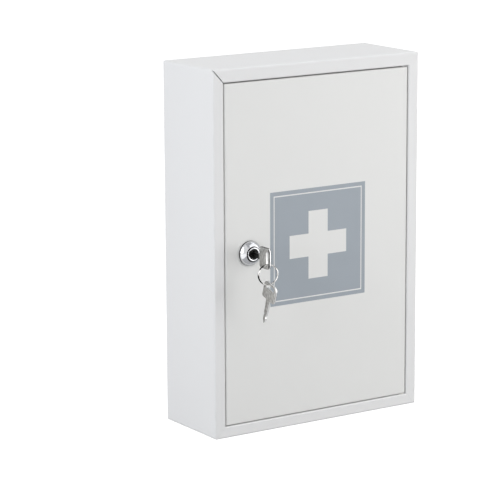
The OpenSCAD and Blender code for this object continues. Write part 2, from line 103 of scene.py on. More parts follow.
NUT_FLATS = 19 * MM
NUT_FACE = -1.6 * MM
NUT_T = 3 * MM
NUT_CORNER_R = 9.7 * MM
NUT_CORNER_SLOPE = math.tan(math.radians(30))
# Keeps the points of the corners' chamfer apart where the flats have none
NUT_LEAST_CHAMFER = 0.02 * MM


# Sizes of a key. Lengths run from where the bow meets the blade

KEY_T = 1.9 * MM
KEY_EDGE = 0.22 * MM
BOW_L = 15.3 * MM
BOW_W = 18.4 * MM
# Corners of the bow, at its far end and beside the blade
BOW_FAR_R = 4 * MM
BOW_FAR_STEPS = 10
BOW_NEAR_R = 2.4 * MM
BOW_NEAR_STEPS = 7
# The slot across the bow, and the web between it and the far end
SLOT_L = 12.6 * MM
SLOT_W = 4 * MM
SLOT_STEPS = 12
SLOT_WEB = 1.6 * MM
SLOT_MID = BOW_L - SLOT_WEB - SLOT_W / 2
BLADE_L = 21.7 * MM
BLADE_W = 4.8 * MM
# Share of its width that the blade loses by its tip
BLADE_TAPER = 0.45
# The uncut stretch of the blade, and the cuts after it, on one side and the other in turn
NECK_L = 10.4 * MM
FIRST_CUT = 3 * MM
CUT_PITCH = 2.4 * MM
CUT_WIDTH = 1 * MM
CUT_DEPTH = 1.2 * MM
# Share of the full depth that each cut has
CUT_LEVELS = (0.5, 1, 0.75, 0.5)
# The groove milled down each side of the blade, from near the bow to past the tip
GROOVE_W = 1.1 * MM
GROOVE_DEPTH = 0.45 * MM
GROOVE_START = 1.5 * MM
GROOVE_PAST = 2 * MM
GROOVE_OFFSET = 0.8 * MM
# How far out of the door's face the bow of the key in the lock starts
BOW_START = 16.3 * MM
# How far the hanging key leans from upright
SPARE_LEAN = math.radians(18)


# Sizes of the split ring

WIRE_R = 0.5 * MM
WIRE_SIDES = 16
RING_R = 8.7 * MM
RING_YAW = math.radians(-13)
RING_STEPS = 240
# Room between the wire and the end of the spare key's slot
RING_PLAY = 0.25 * MM
# How far each turn lies from the ring's middle plane
TURN_OFFSET = 0.9 * WIRE_R
# The stretch that each cut end leaves open
END_GAP = math.radians(16)
# Half the stretch in which the wire steps across, and where on the ring its middle lies
STEP_SPAN = math.radians(14)
STEP_PLACE = math.radians(150)
# The cut ends are ground round, down to this share of the wire's section
END_SECTION = 0.05
# Patches of painted dark reflection on the ring: the hour as on a clock's face, and half the width in degrees
DARK_REFLECTION_PATCHES = ((8.1, 24), (1.4, 7), (10.6, 7))
# Degrees over which a patch of painted dark reflection fades out
DARK_REFLECTION_FADE = 6


# Sizes of the wafer springs: one coil under each wafer's lug, in a row along the core

COIL_COUNT = len(CUT_LEVELS)
COIL_WIRE_R = 0.09 * MM
COIL_WIRE_SIDES = 6
COIL_TURNS = 7
COIL_STEPS = 14


# Node and colour helpers

# Inputs of a colour Mix node, and its output
FACTOR, COLOUR_A, COLOUR_B, MIXED = 0, 6, 7, 2


def linear(code):
    """An sRGB hex colour as the linear RGBA that a shader's socket takes."""
    parts = [int(code[i:i + 2], 16) / 255 for i in (0, 2, 4)]
    return [*(c / 12.92 if c <= 0.04045 else ((c + 0.055) / 1.055) ** 2.4 for c in parts), 1]


def add(tree, kind, inputs=None, **settings):
    """Adds a node with its settings.

    inputs maps a socket to a value, to the output linked to it, or to a node, for its first output.
    """
    node = tree.nodes.new(kind)
    for name, value in settings.items():
        setattr(node, name, value)
    for socket, value in (inputs or {}).items():
        if isinstance(value, bpy.types.Node):
            value = value.outputs[0]
        if isinstance(value, bpy.types.NodeSocket):
            tree.links.new(value, node.inputs[socket])
        else:
            node.inputs[socket].default_value = value
    return node


def new_finish(name):
    """An empty material, its tree, and the object coordinates that its patterns read."""
    material = bpy.data.materials.new(name)
    material.use_nodes = True
    tree = material.node_tree
    tree.nodes.clear()
    return material, tree, add(tree, "ShaderNodeTexCoord").outputs["Object"]


def finish_surface(tree, shader):
    add(tree, "ShaderNodeOutputMaterial", {"Surface": shader})


# Finishes

def powder_coat(name, shade, thick_shade):
    """Polyester powder coat, sprayed and baked: a satin film that flows out to a fine orange peel."""
    # Drawn coarser than the real 0.5 mm peel, so that it shows
    peel_width = 1.1 * MM
    peel_height = 0.012 * MM
    cloud_width = 60 * MM
    material, tree, place = new_finish(name)
    clouds = add(tree, "ShaderNodeTexNoise", {"Vector": place, "Scale": 1 / cloud_width, "Detail": 3})
    shades = add(tree, "ShaderNodeMix", {
        FACTOR: clouds, COLOUR_A: linear(shade), COLOUR_B: linear(thick_shade),
    }, data_type="RGBA")
    peel = add(tree, "ShaderNodeTexNoise", {"Vector": place, "Scale": 1 / peel_width, "Detail": 2})
    roughness = add(tree, "ShaderNodeMapRange", {"Value": clouds, "To Min": 0.42, "To Max": 0.52})
    bump = add(tree, "ShaderNodeBump", {"Height": peel, "Distance": peel_height})
    finish_surface(tree, add(tree, "ShaderNodeBsdfPrincipled", {
        "Base Color": shades.outputs[MIXED], "Roughness": roughness, "Normal": bump, "IOR": 1.5,
    }))
    return material


def screen_print():
    """Matt screen-printing ink on the coat: flat, with a faint mesh texture and uneven cover."""
    # Drawn coarser than the screen's real mesh of about 0.1 mm, so that it shows
    mesh_step = 0.5 * MM
    mesh_height = 0.006 * MM
    cover_width = 25 * MM
    material, tree, place = new_finish("screen_print_ink")
    cover = add(tree, "ShaderNodeTexNoise", {"Vector": place, "Scale": 1 / cover_width, "Detail": 4})
    shades = add(tree, "ShaderNodeMix", {
        FACTOR: cover, COLOUR_A: linear("99A1A9"), COLOUR_B: linear("A0A8B0"),
    }, data_type="RGBA")
    weave = add(tree, "ShaderNodeTexVoronoi", {"Vector": place, "Scale": 1 / mesh_step, "Randomness": 0.2})
    bump = add(tree, "ShaderNodeBump", {"Height": weave, "Distance": mesh_height})
    finish_surface(tree, add(tree, "ShaderNodeBsdfPrincipled", {
        "Base Color": shades.outputs[MIXED], "Roughness": 0.5, "Normal": bump,
    }))
    return material


def plated_metal(name, shades, roughness, wear, mark_width, mark_height, stretch=(1, 1, 1),
                 bright=None, black=None):
    """Metal with fine marks.

    shades and roughness run from unmarked to marked, and wear is how far the marked shade goes. stretch
    scales the pattern along X, Y and Z. bright and black give, from the tree and its place, the parts
    painted near white as a highlight on polished sheared edges, and those painted black, mostly as
    shade and dark reflection.
    """
    # Most of the noise lies between these two values
    least, most = 0.3, 0.7
    # Near white for a painted highlight, and black for painted shade and dark reflection
    highlight_shade, black_shade = "F4F4F3", "121213"
    material, tree, place = new_finish(name)
    scaled = add(tree, "ShaderNodeMapping", {"Vector": place, "Scale": stretch})
    marks = add(tree, "ShaderNodeTexNoise", {"Vector": scaled, "Scale": 1 / mark_width, "Detail": 4})
    marked = add(tree, "ShaderNodeMapRange", {
        "Value": marks, "From Min": least, "From Max": most, "To Max": wear,
    })
    shade = add(tree, "ShaderNodeMix", {
        FACTOR: marked, COLOUR_A: linear(shades[0]), COLOUR_B: linear(shades[1]),
    }, data_type="RGBA")
    for part, part_shade in ((bright, highlight_shade), (black, black_shade)):
        if part:
            shade = add(tree, "ShaderNodeMix", {
                FACTOR: part(tree, place), COLOUR_A: shade.outputs[MIXED], COLOUR_B: linear(part_shade),
            }, data_type="RGBA")
    polish = add(tree, "ShaderNodeMapRange", {
        "Value": marks, "To Min": roughness[0], "To Max": roughness[1],
    })
    bump = add(tree, "ShaderNodeBump", {"Height": marks, "Distance": mark_height})
    finish_surface(tree, add(tree, "ShaderNodeBsdfPrincipled", {
        "Base Color": shade.outputs[MIXED], "Metallic": 1, "Roughness": polish, "Normal": bump,
    }))
    return material


def painted_rosette_shade(tree, place):
    """Painted shade round the foot of the front ring, and at the rim where the rosette meets the door."""
    foot_reach = (FOOT_SHADE_END_R - FACE_R) / 2 + 0.03 * MM
    rim_reach = 0.12 * MM
    centred = add(tree, "ShaderNodeMapping", {
        "Vector": place, "Location": (-lock_place.x, 0, -lock_place.z), "Scale": (1, 0, 1),
    })
    radius = add(tree, "ShaderNodeVectorMath", {0: centred}, operation="LENGTH").outputs["Value"]
    # Painted shade in the groove round the front ring's foot
    foot = add(tree, "ShaderNodeMath", {
        0: radius, 1: (FACE_R + FOOT_SHADE_END_R) / 2, 2: foot_reach,
    }, operation="COMPARE")
    # Painted shade at the rim, where the rosette meets the door
    rim = add(tree, "ShaderNodeMath", {0: radius, 1: ROSETTE_R, 2: rim_reach}, operation="COMPARE")
    return add(tree, "ShaderNodeMath", {0: foot, 1: rim}, operation="MAXIMUM")


def painted_ring_shade_and_reflection(tree, place):
    """Painted shade in the seam between the ring's two turns, and patches of painted dark reflection."""
    seam_reach = 0.6 * WIRE_R
    offset = add(tree, "ShaderNodeVectorMath", {0: place, 1: ring_middle}, operation="SUBTRACT")
    across = add(tree, "ShaderNodeVectorMath", {
        0: offset, 1: (-math.sin(RING_YAW), math.cos(RING_YAW), 0),
    }, operation="DOT_PRODUCT").outputs["Value"]
    # Painted shade in the seam between the two turns
    painted_dark = add(tree, "ShaderNodeMath", {0: across, 1: 0, 2: seam_reach}, operation="COMPARE")
    # Patches of painted dark reflection
    for hour, half_width in DARK_REFLECTION_PATCHES:
        angle = math.radians(90 - 30 * hour)
        towards = add(tree, "ShaderNodeVectorMath", {
            0: offset, 1: (math.cos(angle) / RING_R, 0, math.sin(angle) / RING_R),
        }, operation="DOT_PRODUCT").outputs["Value"]
        patch = add(tree, "ShaderNodeMapRange", {
            "Value": towards,
            "From Min": math.cos(math.radians(half_width + DARK_REFLECTION_FADE)),
            "From Max": math.cos(math.radians(half_width)),
        })
        painted_dark = add(tree, "ShaderNodeMath", {0: painted_dark, 1: patch}, operation="MAXIMUM")
    return painted_dark


def sheared_edge_highlight(tree, place):
    """The band that the stamping tool polished along the middle of a key's edge, painted near white as a
    highlight.
    """
    band_reach = 0.45 * MM
    across = add(tree, "ShaderNodeSeparateXYZ", {0: place}).outputs["X"]
    return add(tree, "ShaderNodeMath", {0: across, 1: lock_place.x, 2: band_reach}, operation="COMPARE")


def painted_key_shade(tree, place):
    """Painted shade on the blade of the key in the lock and beside its slot, and darker along the bow's top and
    bottom edges.
    """
    blade_cover, web_cover, edge_cover = 0.93, 0.9, 0.75
    edge_reach = 0.4 * MM
    bow = lock_place.y - BOW_START
    # The painted shade thins out over the last of the blade before the bow
    no_painted_shade, full_painted_shade = bow - 0.1 * MM, bow + 1.2 * MM
    parts = add(tree, "ShaderNodeSeparateXYZ", {0: place}).outputs
    # Painted shade on the blade between the lock and the bow
    blade = add(tree, "ShaderNodeMapRange", {
        "Value": parts["Y"], "From Min": no_painted_shade, "From Max": full_painted_shade, "To Max": blade_cover,
    })
    # Painted shade on the web beyond the slot
    web = add(tree, "ShaderNodeMath", {
        0: parts["Y"], 1: bow - BOW_L + SLOT_WEB / 2, 2: SLOT_WEB / 2,
    }, operation="COMPARE")
    face = add(tree, "ShaderNodeMath", {0: 1, 1: sheared_edge_highlight(tree, place)}, operation="SUBTRACT")
    web_face = add(tree, "ShaderNodeMath", {0: web, 1: face}, operation="MULTIPLY")
    painted_web_shade = add(tree, "ShaderNodeMath", {0: web_face, 1: web_cover}, operation="MULTIPLY")
    # Darker along the bow's top and bottom edges
    height = add(tree, "ShaderNodeMath", {0: parts["Z"], 1: lock_place.z}, operation="SUBTRACT")
    from_middle = add(tree, "ShaderNodeMath", {0: height}, operation="ABSOLUTE")
    edges = add(tree, "ShaderNodeMath", {0: from_middle, 1: BOW_W / 2, 2: edge_reach}, operation="COMPARE")
    edge_darkening = add(tree, "ShaderNodeMath", {0: edges, 1: edge_cover}, operation="MULTIPLY")
    painted_dark = add(tree, "ShaderNodeMath", {0: painted_web_shade, 1: edge_darkening}, operation="MAXIMUM")
    return add(tree, "ShaderNodeMath", {0: blade, 1: painted_dark}, operation="MAXIMUM")


def satin_nickel(name, black=None):
    """Nickel plate on a key tumbled after stamping: satin, its marks run along the key, edges polished and painted
    near white as a highlight.
    """
    return plated_metal(
        name, ("C6C5C2", "8E8D8A"), roughness=(0.38, 0.52), wear=1, mark_width=1.2 * MM,
        mark_height=0.01 * MM, stretch=(1, 0.8, 0.5), bright=sheared_edge_highlight, black=black)


def black_core():
    """Black-plated core: deep matt black, with faint olive-grey scuffs from the key."""
    scuff_width = 0.9 * MM
    scuff_height = 0.02 * MM
    material, tree, place = new_finish("black_plated_zinc")
    marks = add(tree, "ShaderNodeTexNoise", {"Vector": place, "Scale": 1 / scuff_width, "Detail": 5})
    wear = add(tree, "ShaderNodeMapRange", {"Value": marks, "From Min": 0.58, "From Max": 0.75})
    shades = add(tree, "ShaderNodeMix", {
        FACTOR: wear, COLOUR_A: linear("0B0B0B"), COLOUR_B: linear("45463C"),
    }, data_type="RGBA")
    bump = add(tree, "ShaderNodeBump", {"Height": marks, "Distance": scuff_height})
    finish_surface(tree, add(tree, "ShaderNodeBsdfPrincipled", {
        "Base Color": shades.outputs[MIXED], "Roughness": 0.5, "Normal": bump, "Specular IOR Level": 0.15,
    }))
    return material


def moulded(name, shade, roughness, grain_width, grain_height):
    """Moulded nylon or rubber: one colour all through, with the mould's fine grain."""
    spread = 0.06
    material, tree, place = new_finish(name)
    grain = add(tree, "ShaderNodeTexNoise", {"Vector": place, "Scale": 1 / grain_width, "Detail": 3})
    gloss = add(tree, "ShaderNodeMapRange", {
        "Value": grain, "To Min": roughness - spread, "To Max": roughness + spread,
    })
    bump = add(tree, "ShaderNodeBump", {"Height": grain, "Distance": grain_height})
    finish_surface(tree, add(tree, "ShaderNodeBsdfPrincipled", {
        "Base Color": linear(shade), "Roughness": gloss, "Normal": bump,
    }))
    return material


FINISH = {
    "cabinet_coat": powder_coat("powder_coat_white", "E5E5E5", "E8E8E8"),
    "door_coat": powder_coat("powder_coat_warm_white", "E4E4E2", "E8E8E6"),
    "print_ink": screen_print(),
    # Bright chrome: a mirror with a few hairlines, and painted shade round the front ring's foot and at the rim
    "lock_chrome": plated_metal(
        "bright_chrome_plate", ("D4D5D7", "C4C5C8"), roughness=(0.04, 0.10), wear=0.6,
        mark_width=0.8 * MM, mark_height=0.0005 * MM, black=painted_rosette_shade),
    "core_black": black_core(),
    # Zinc plate: dull, faintly blue, clouded
    "zinc_steel": plated_metal(
        "zinc_plated_steel", ("BFC3C8", "9DA3AA"), roughness=(0.28, 0.42), wear=0.8,
        mark_width=2 * MM, mark_height=0.003 * MM),
    # Stamped brass: warm, with rolled grain
    "wafer_brass": plated_metal(
        "stamped_brass", ("D6B25E", "B8924A"), roughness=(0.22, 0.36), wear=0.6,
        mark_width=0.5 * MM, mark_height=0.002 * MM, stretch=(1, 1, 4)),
    "key_nickel": satin_nickel("satin_nickel_plate"),
    # Nickel-plated spring wire: drawn smooth and bright, with painted shade between its turns and patches of
    # painted dark reflection
    "ring_steel": plated_metal(
        "nickel_plated_wire", ("DCDBD8", "C4C2BE"), roughness=(0.08, 0.16), wear=0.5,
        mark_width=0.4 * MM, mark_height=0.001 * MM, black=painted_ring_shade_and_reflection),
    # Nylon: milky white, satin
    "washer_plastic": moulded(
        "moulded_nylon", "E9E8E2", roughness=0.4, grain_width=0.3 * MM, grain_height=0.006 * MM),
    # Rubber: near black, dull
    "bumper_rubber": moulded(
        "moulded_rubber", "2A2B2C", roughness=0.7, grain_width=0.25 * MM, grain_height=0.012 * MM),
}
# The key in the lock has the hanging key's finish, with painted shade
SHADED_KEY_FINISH = satin_nickel("satin_nickel_with_painted_shade", black=painted_key_shade)


# Scene and mesh helpers

def put(name, data):
    """Adds an object to the scene."""
    item = bpy.data.objects.new(name, data)
    bpy.context.scene.collection.objects.link(item)
    return item


def mesh_of(work, name):
    """Makes a mesh of a bmesh, which it frees."""
    mesh = bpy.data.meshes.new(name)
    work.to_mesh(mesh)
    work.free()
    return mesh


def shade_by_angle(mesh, degrees):
    """Smooth shading, but for edges sharper than an angle."""
    for face in mesh.polygons:
        face.use_smooth = True
    mesh.set_sharp_from_angle(angle=math.radians(degrees))


def plain_mesh(source, name):
    """The evaluated object's mesh, with its modifiers in it."""
    graph = bpy.context.evaluated_depsgraph_get()
    mesh = bpy.data.meshes.new_from_object(source.evaluated_get(graph))
    mesh.name = name
    return mesh


def clean(mesh):
    """Merges doubled points and turns all faces outwards."""
    same_point = 0.5e-6
    work = bmesh.new()
    work.from_mesh(mesh)
    bmesh.ops.remove_doubles(work, verts=work.verts, dist=same_point)
    bmesh.ops.recalc_face_normals(work, faces=work.faces)
    work.to_mesh(mesh)
    work.free()
    return mesh


def ring_mesh(name, rings, place, closed=True):
    """Mesh through rings of points. The last joins the first, or else both ends are capped."""
    work = bmesh.new()
    rows = [[work.verts.new(place @ Vector(point)) for point in ring] for ring in rings]
    following_rows = [*rows[1:], rows[0]] if closed else rows[1:]
    for row, following in zip(rows, following_rows):
        for j in range(len(row)):
            k = (j + 1) % len(row)
            work.faces.new((row[j], row[k], following[k], following[j]))
    if not closed:
        work.faces.new(rows[0])
        work.faces.new(rows[-1])
    bmesh.ops.recalc_face_normals(work, faces=work.faces)
    return mesh_of(work, name)


def turned(name, section, steps):
    """Mesh turned about the lock's axis. section(angle) gives (radius, height) points, a closed loop."""
    rings = []
    for i in range(steps):
        angle = 2 * math.pi * i / steps
        rings.append([
            (r * math.cos(angle), r * math.sin(angle), height) for r, height in section(angle)
        ])
    return ring_mesh(name, rings, LOCK_FRAME)


def arc(centre, radius, start, end, count):
    """Points of an arc, its angles in degrees."""
    angles = [math.radians(start + (end - start) * i / count) for i in range(count + 1)]
    return [(centre[0] + radius * math.cos(a), centre[1] + radius * math.sin(a)) for a in angles]


def show(name, mesh, slot, body, node, finish=None):
    """Puts a finished mesh in the scene as a piece that rides on a body and stands for a CAD node."""
    piece = put(name, mesh)
    mesh.materials.clear()
    mesh.materials.append(finish or FINISH[slot])
    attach(piece, body)
    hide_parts(node)


# Lock: rosette with its threaded barrel, and the nut

def thread_cut(height, angle):
    """Depth of the thread's groove at a height and an angle."""
    turn = (height / THREAD_PITCH + angle / (2 * math.pi)) % 1
    return THREAD_DEPTH * abs(2 * turn - 1)


def flatted(radius, angle):
    """The radius, less where one of the barrel's two flats cuts it."""
    across = abs(math.sin(angle))
    return min(radius, BARREL_FLAT / across) if across > 0 else radius


def dome_arc():
    """The dome from the rim to the front ring, as an arc through both."""
    chord = Vector((DOME_TOP_R - ROSETTE_R, DOME_TOP - ROSETTE_RIM))
    middle = Vector((ROSETTE_R + DOME_TOP_R, ROSETTE_RIM + DOME_TOP)) / 2
    back = math.sqrt(DOME_R ** 2 - (chord.length / 2) ** 2) / chord.length
    centre = middle + Vector((-chord.y, chord.x)) * back
    angles = [
        math.degrees(math.atan2(y - centre.y, x - centre.x))
        for x, y in ((ROSETTE_R, ROSETTE_RIM), (DOME_TOP_R, DOME_TOP))
    ]
    return arc(centre, DOME_R, *angles, DOME_STEPS)


def housing_section(angle):
    """The rosette's outside, the front ring and its collar, the core's room, and the threaded barrel."""
    edge = FACE_BEVEL
    points = [(ROSETTE_R - edge / 2, 0), (ROSETTE_R, edge / 2)]
    points += dome_arc()
    points += [(FACE_R + edge / 3, DOME_TOP), (FACE_R, DOME_TOP + edge / 3)]
    points += arc((FACE_R - edge, LOCK_OUT - edge), edge, 0, 90, BEVEL_STEPS)
    points += arc((COLLAR_R + edge, LOCK_OUT - edge), edge, 90, 180, BEVEL_STEPS)
    points += [(COLLAR_R, COLLAR_LOW), (HEAD_R, COLLAR_LOW)]
    points += [(HEAD_R, HEAD_DEPTH), (BORE_R, HEAD_DEPTH), (BORE_R, BARREL_END)]
    thread_length = THREAD_START - BARREL_END
    count = round(thread_length / THREAD_PITCH) * POINTS_PER_PITCH
    for i in range(count + 1):
        height = BARREL_END + thread_length * i / count
        points.append((flatted(BARREL_R - thread_cut(height, angle), angle), height))
    points.append((flatted(BARREL_R, angle), THREAD_START + edge / 2))
    points.append((flatted(BARREL_R, angle), 0))
    return points


def lock_rosette():
    mesh = turned("lock_rosette", housing_section, LOCK_STEPS)
    shade_by_angle(mesh, 35)
    show("lock_rosette", mesh, "lock_chrome", "door", "lock_housing")


def nut_section(angle):
    """The nut's six flats with chamfered corners, and its threaded hole."""
    sixth = math.radians(60)
    radius = NUT_FLATS / 2 / math.cos(angle % sixth - sixth / 2)
    low = NUT_FACE - NUT_T
    drop = max(radius - NUT_CORNER_R, 0) * NUT_CORNER_SLOPE + NUT_LEAST_CHAMFER
    mouth = BARREL_R + THREAD_CLEARANCE
    points = [
        (mouth, low), (min(radius, NUT_CORNER_R), low), (radius, low + drop), (radius, NUT_FACE - drop),
        (min(radius, NUT_CORNER_R), NUT_FACE), (mouth, NUT_FACE),
    ]
    # The thread starts and ends in a chamfer as deep as itself
    length = NUT_T - 2 * THREAD_DEPTH
    count = round(length / THREAD_PITCH * POINTS_PER_PITCH)
    for i in range(count + 1):
        height = NUT_FACE - THREAD_DEPTH - length * i / count
        points.append((mouth - thread_cut(height, angle), height))
    return points


def threaded_nut():
    mesh = turned("threaded_nut", nut_section, 2 * LOCK_STEPS)
    shade_by_angle(mesh, 20)
    show("threaded_nut", mesh, "zinc_steel", "door", "lock_nut")


# Keys

def blade_cuts(side):
    """Points of the cuts on one side of the blade, from the bow to the tip."""
    points = []
    for i, level in enumerate(CUT_LEVELS):
        x = -NECK_L - FIRST_CUT - i * CUT_PITCH
        flat, depth = CUT_WIDTH / 2, CUT_DEPTH * level
        edge, floor = side * BLADE_W / 2, side * (BLADE_W / 2 - depth)
        clear_of_tip = x - flat - depth >= -BLADE_L + BLADE_W / 2
        if side == (-1) ** i and clear_of_tip:
            points += [
                (x + flat + depth, edge), (x + flat, floor), (x - flat, floor), (x - flat - depth, edge),
            ]
    return points


def key_edge():
    """Outline of a key without its slot. X runs from the blade to the bow's end, Y is across."""
    half, blade = BOW_W / 2, BLADE_W / 2
    tip = blade / 3
    far_x, near_x = BOW_L - BOW_FAR_R, BOW_NEAR_R
    points = arc((far_x, half - BOW_FAR_R), BOW_FAR_R, 0, 90, BOW_FAR_STEPS)
    points += arc((near_x, half - BOW_NEAR_R), BOW_NEAR_R, 90, 180, BOW_NEAR_STEPS)
    blade_edge = [(0, blade), *blade_cuts(1)]
    blade_edge += [(-BLADE_L + blade, blade), (-BLADE_L, tip), (-BLADE_L, -tip)]
    blade_edge += [(-BLADE_L + blade, -blade), *reversed(blade_cuts(-1)), (0, -blade)]
    points += [(x, y * (1 - BLADE_TAPER * x / -BLADE_L)) for x, y in blade_edge]
    points += arc((near_x, -half + BOW_NEAR_R), BOW_NEAR_R, 180, 270, BOW_NEAR_STEPS)
    points += arc((far_x, -half + BOW_FAR_R), BOW_FAR_R, 270, 360, BOW_FAR_STEPS)
    return points


def slot_edge():
    reach = SLOT_L / 2 - SLOT_W / 2
    points = arc((SLOT_MID, reach), SLOT_W / 2, 0, 180, SLOT_STEPS)
    points += arc((SLOT_MID, -reach), SLOT_W / 2, 180, 360, SLOT_STEPS)
    return points


def key_blank(name):
    """A key stamped flat, with rolled edges and its slot."""
    curve = bpy.data.curves.new(name, "CURVE")
    curve.dimensions = "2D"
    curve.fill_mode = "BOTH"
    curve.extrude = KEY_T / 2 - KEY_EDGE
    curve.bevel_depth = KEY_EDGE
    curve.bevel_resolution = 2
    curve.offset = -KEY_EDGE
    for outline in (key_edge(), slot_edge()):
        spline = curve.splines.new("POLY")
        spline.points.add(len(outline) - 1)
        for point, (x, y) in zip(spline.points, outline):
            point.co = (x, y, 0, 1)
        spline.use_cyclic_u = True
    flat = put(name, curve)
    mesh = clean(plain_mesh(flat, name))
    bpy.data.objects.remove(flat)
    return mesh


def cut_away(piece_mesh, boxes):
    """The mesh less some boxes, each a middle and a size."""
    target = put("cutting", piece_mesh)
    cutters = []
    for middle, size in boxes:
        work = bmesh.new()
        bmesh.ops.create_cube(work, size=1, matrix=Matrix.Translation(middle) @ Matrix.Diagonal((*size, 1)))
        cutter = put("cutter", mesh_of(work, "cutter"))
        cut = target.modifiers.new("cut", "BOOLEAN")
        cut.operation = "DIFFERENCE"
        cut.solver = "EXACT"
        cut.object = cutter
        cutters.append(cutter)
    result = plain_mesh(target, piece_mesh.name)
    for helper in (target, *cutters):
        bpy.data.objects.remove(helper)
    return result


def key_mesh(name, place):
    """Stamped key with rolled edges and a milled groove down each side of its blade."""
    groove_l = BLADE_L - GROOVE_START + GROOVE_PAST
    grooves = [
        (Vector((-GROOVE_START - groove_l / 2, side * GROOVE_OFFSET, side * KEY_T / 2)),
         (groove_l, GROOVE_W, 2 * GROOVE_DEPTH))
        for side in (-1, 1)
    ]
    mesh = cut_away(key_blank(name), grooves)
    # The key's plane stands upright, square to the door
    mesh.transform(place @ Matrix.Rotation(math.radians(-90), 4, "Y"))
    shade_by_angle(mesh, 28)
    return mesh


def keys():
    key_place = LOCK_FRAME @ Matrix.Translation((0, 0, BOW_START))
    show("key_in_lock", key_mesh("key_in_lock", key_place), "key_nickel", "key", "key", finish=SHADED_KEY_FINISH)
    # The wire bears on the round end of the spare key's slot
    reach = SLOT_W / 2 - 2 * WIRE_R - RING_PLAY
    seat = Vector((
        0,
        SLOT_L / 2 - SLOT_W / 2 + reach * math.sin(SPARE_LEAN),
        SLOT_MID + reach * math.cos(SPARE_LEAN),
    ))
    spare_place = (
        Matrix.Translation(ring_bottom)
        @ Matrix.Rotation(SPARE_LEAN, 4, "X")
        @ Matrix.Translation(-seat)
    )
    show("hanging_key", key_mesh("hanging_key", spare_place), "key_nickel", "spare_key", "spare_key")


# Split ring

def split_ring():
    """Two turns of wire, which steps across from one to the other between its two cut ends."""
    start, end = END_GAP, 4 * math.pi - END_GAP
    rings = []
    for i in range(RING_STEPS + 1):
        turn = start + (end - start) * i / RING_STEPS
        across = max(-1, min(1, (turn - 2 * math.pi) / STEP_SPAN))
        offset = TURN_OFFSET * math.sin(across * math.pi / 2)
        angle = turn + STEP_PLACE
        outward = Vector((math.cos(angle), math.sin(angle), 0))
        middle = outward * RING_R + Vector((0, 0, offset))
        to_end = min(i, RING_STEPS - i) * (end - start) / RING_STEPS * RING_R
        radius = WIRE_R * math.sqrt(max(END_SECTION, 1 - max(0, 1 - to_end / WIRE_R) ** 2))
        rings.append([
            middle + radius * (outward * math.cos(a) + Vector((0, 0, math.sin(a))))
            for a in (2 * math.pi * k / WIRE_SIDES for k in range(WIRE_SIDES))
        ])
    place = (
        Matrix.Translation(ring_middle)
        @ Matrix.Rotation(RING_YAW, 4, "Z")
        @ Matrix.Rotation(math.radians(90), 4, "X")
    )
    mesh = ring_mesh("split_ring", rings, place, closed=False)
    shade_by_angle(mesh, 50)
    show("split_ring", mesh, "ring_steel", "key_ring", "key_ring")


# Wafer springs

def named_inputs(tree, sizes):
    """Declares a tree's inputs and returns the sockets that give them. sizes maps a name to (kind, value)."""
    for name, (kind, value) in sizes.items():
        socket = tree.interface.new_socket(name, in_out="INPUT", socket_type=kind)
        socket.default_value = value
    tree.interface.new_socket("Geometry", in_out="OUTPUT", socket_type="NodeSocketGeometry")
    return add(tree, "NodeGroupInput").outputs


def grown(name, tree):
    """The plain mesh that a geometry tree makes on an empty object."""
    holder = put(name, bpy.data.meshes.new(name))
    holder.modifiers.new("grow", "NODES").node_group = tree
    mesh = plain_mesh(holder, name)
    bpy.data.objects.remove(holder)
    return mesh


def coil_springs():
    low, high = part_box("wafer_springs")
    radius = (high.x - low.x) / 2
    first = Vector(((low.x + high.x) / 2, low.y + radius, low.z + COIL_WIRE_R))
    pitch = (high.y - low.y - 2 * radius) / (COIL_COUNT - 1)
    tree = bpy.data.node_groups.new("coil_springs", "GeometryNodeTree")
    sizes = named_inputs(tree, {
        "Coil radius": ("NodeSocketFloat", radius - COIL_WIRE_R),
        "Wire radius": ("NodeSocketFloat", COIL_WIRE_R),
        "Turns": ("NodeSocketFloat", COIL_TURNS),
        "Height": ("NodeSocketFloat", high.z - low.z - 2 * COIL_WIRE_R),
        "Count": ("NodeSocketInt", COIL_COUNT),
        "First": ("NodeSocketVector", first),
        "Step": ("NodeSocketVector", (0, pitch, 0)),
        "Material": ("NodeSocketMaterial", FINISH["zinc_steel"]),
    })
    coil = add(tree, "GeometryNodeCurveSpiral", {
        "Resolution": COIL_STEPS, "Rotations": sizes["Turns"], "Start Radius": sizes["Coil radius"],
        "End Radius": sizes["Coil radius"], "Height": sizes["Height"],
    })
    section = add(tree, "GeometryNodeCurvePrimitiveCircle", {
        "Resolution": COIL_WIRE_SIDES, "Radius": sizes["Wire radius"],
    })
    wire = add(tree, "GeometryNodeCurveToMesh", {"Curve": coil, "Profile Curve": section, "Fill Caps": True})
    row = add(tree, "GeometryNodeMeshLine", {
        "Count": sizes["Count"], "Start Location": sizes["First"], "Offset": sizes["Step"],
    })
    springs = add(tree, "GeometryNodeInstanceOnPoints", {"Points": row, "Instance": wire})
    solid = add(tree, "GeometryNodeRealizeInstances", {"Geometry": springs})
    finished = add(tree, "GeometryNodeSetMaterial", {"Geometry": solid, "Material": sizes["Material"]})
    add(tree, "NodeGroupOutput", {0: finished})
    mesh = clean(grown("coil_springs", tree))
    shade_by_angle(mesh, 60)
    show("coil_springs", mesh, "zinc_steel", "lock_core", "wafer_springs")


# CAD nodes that keep their shape

def dress_cad_nodes():
    for part in frame["record"]["subparts"]:
        node = frame["nodes"][part["node"]]
        for material_slot in node.material_slots:
            material_slot.material = FINISH[part["material_slot"]]


# Floor, background, lights and camera

FLOOR_SIZE = 40
FLOOR_SHADE = "B9B9B9"
FLOOR_GLOW = 0.93
AMBIENT_SHADE = "F5F5F5"
AMBIENT_STRENGTH = 0.6
WHITE = "FFFFFF"

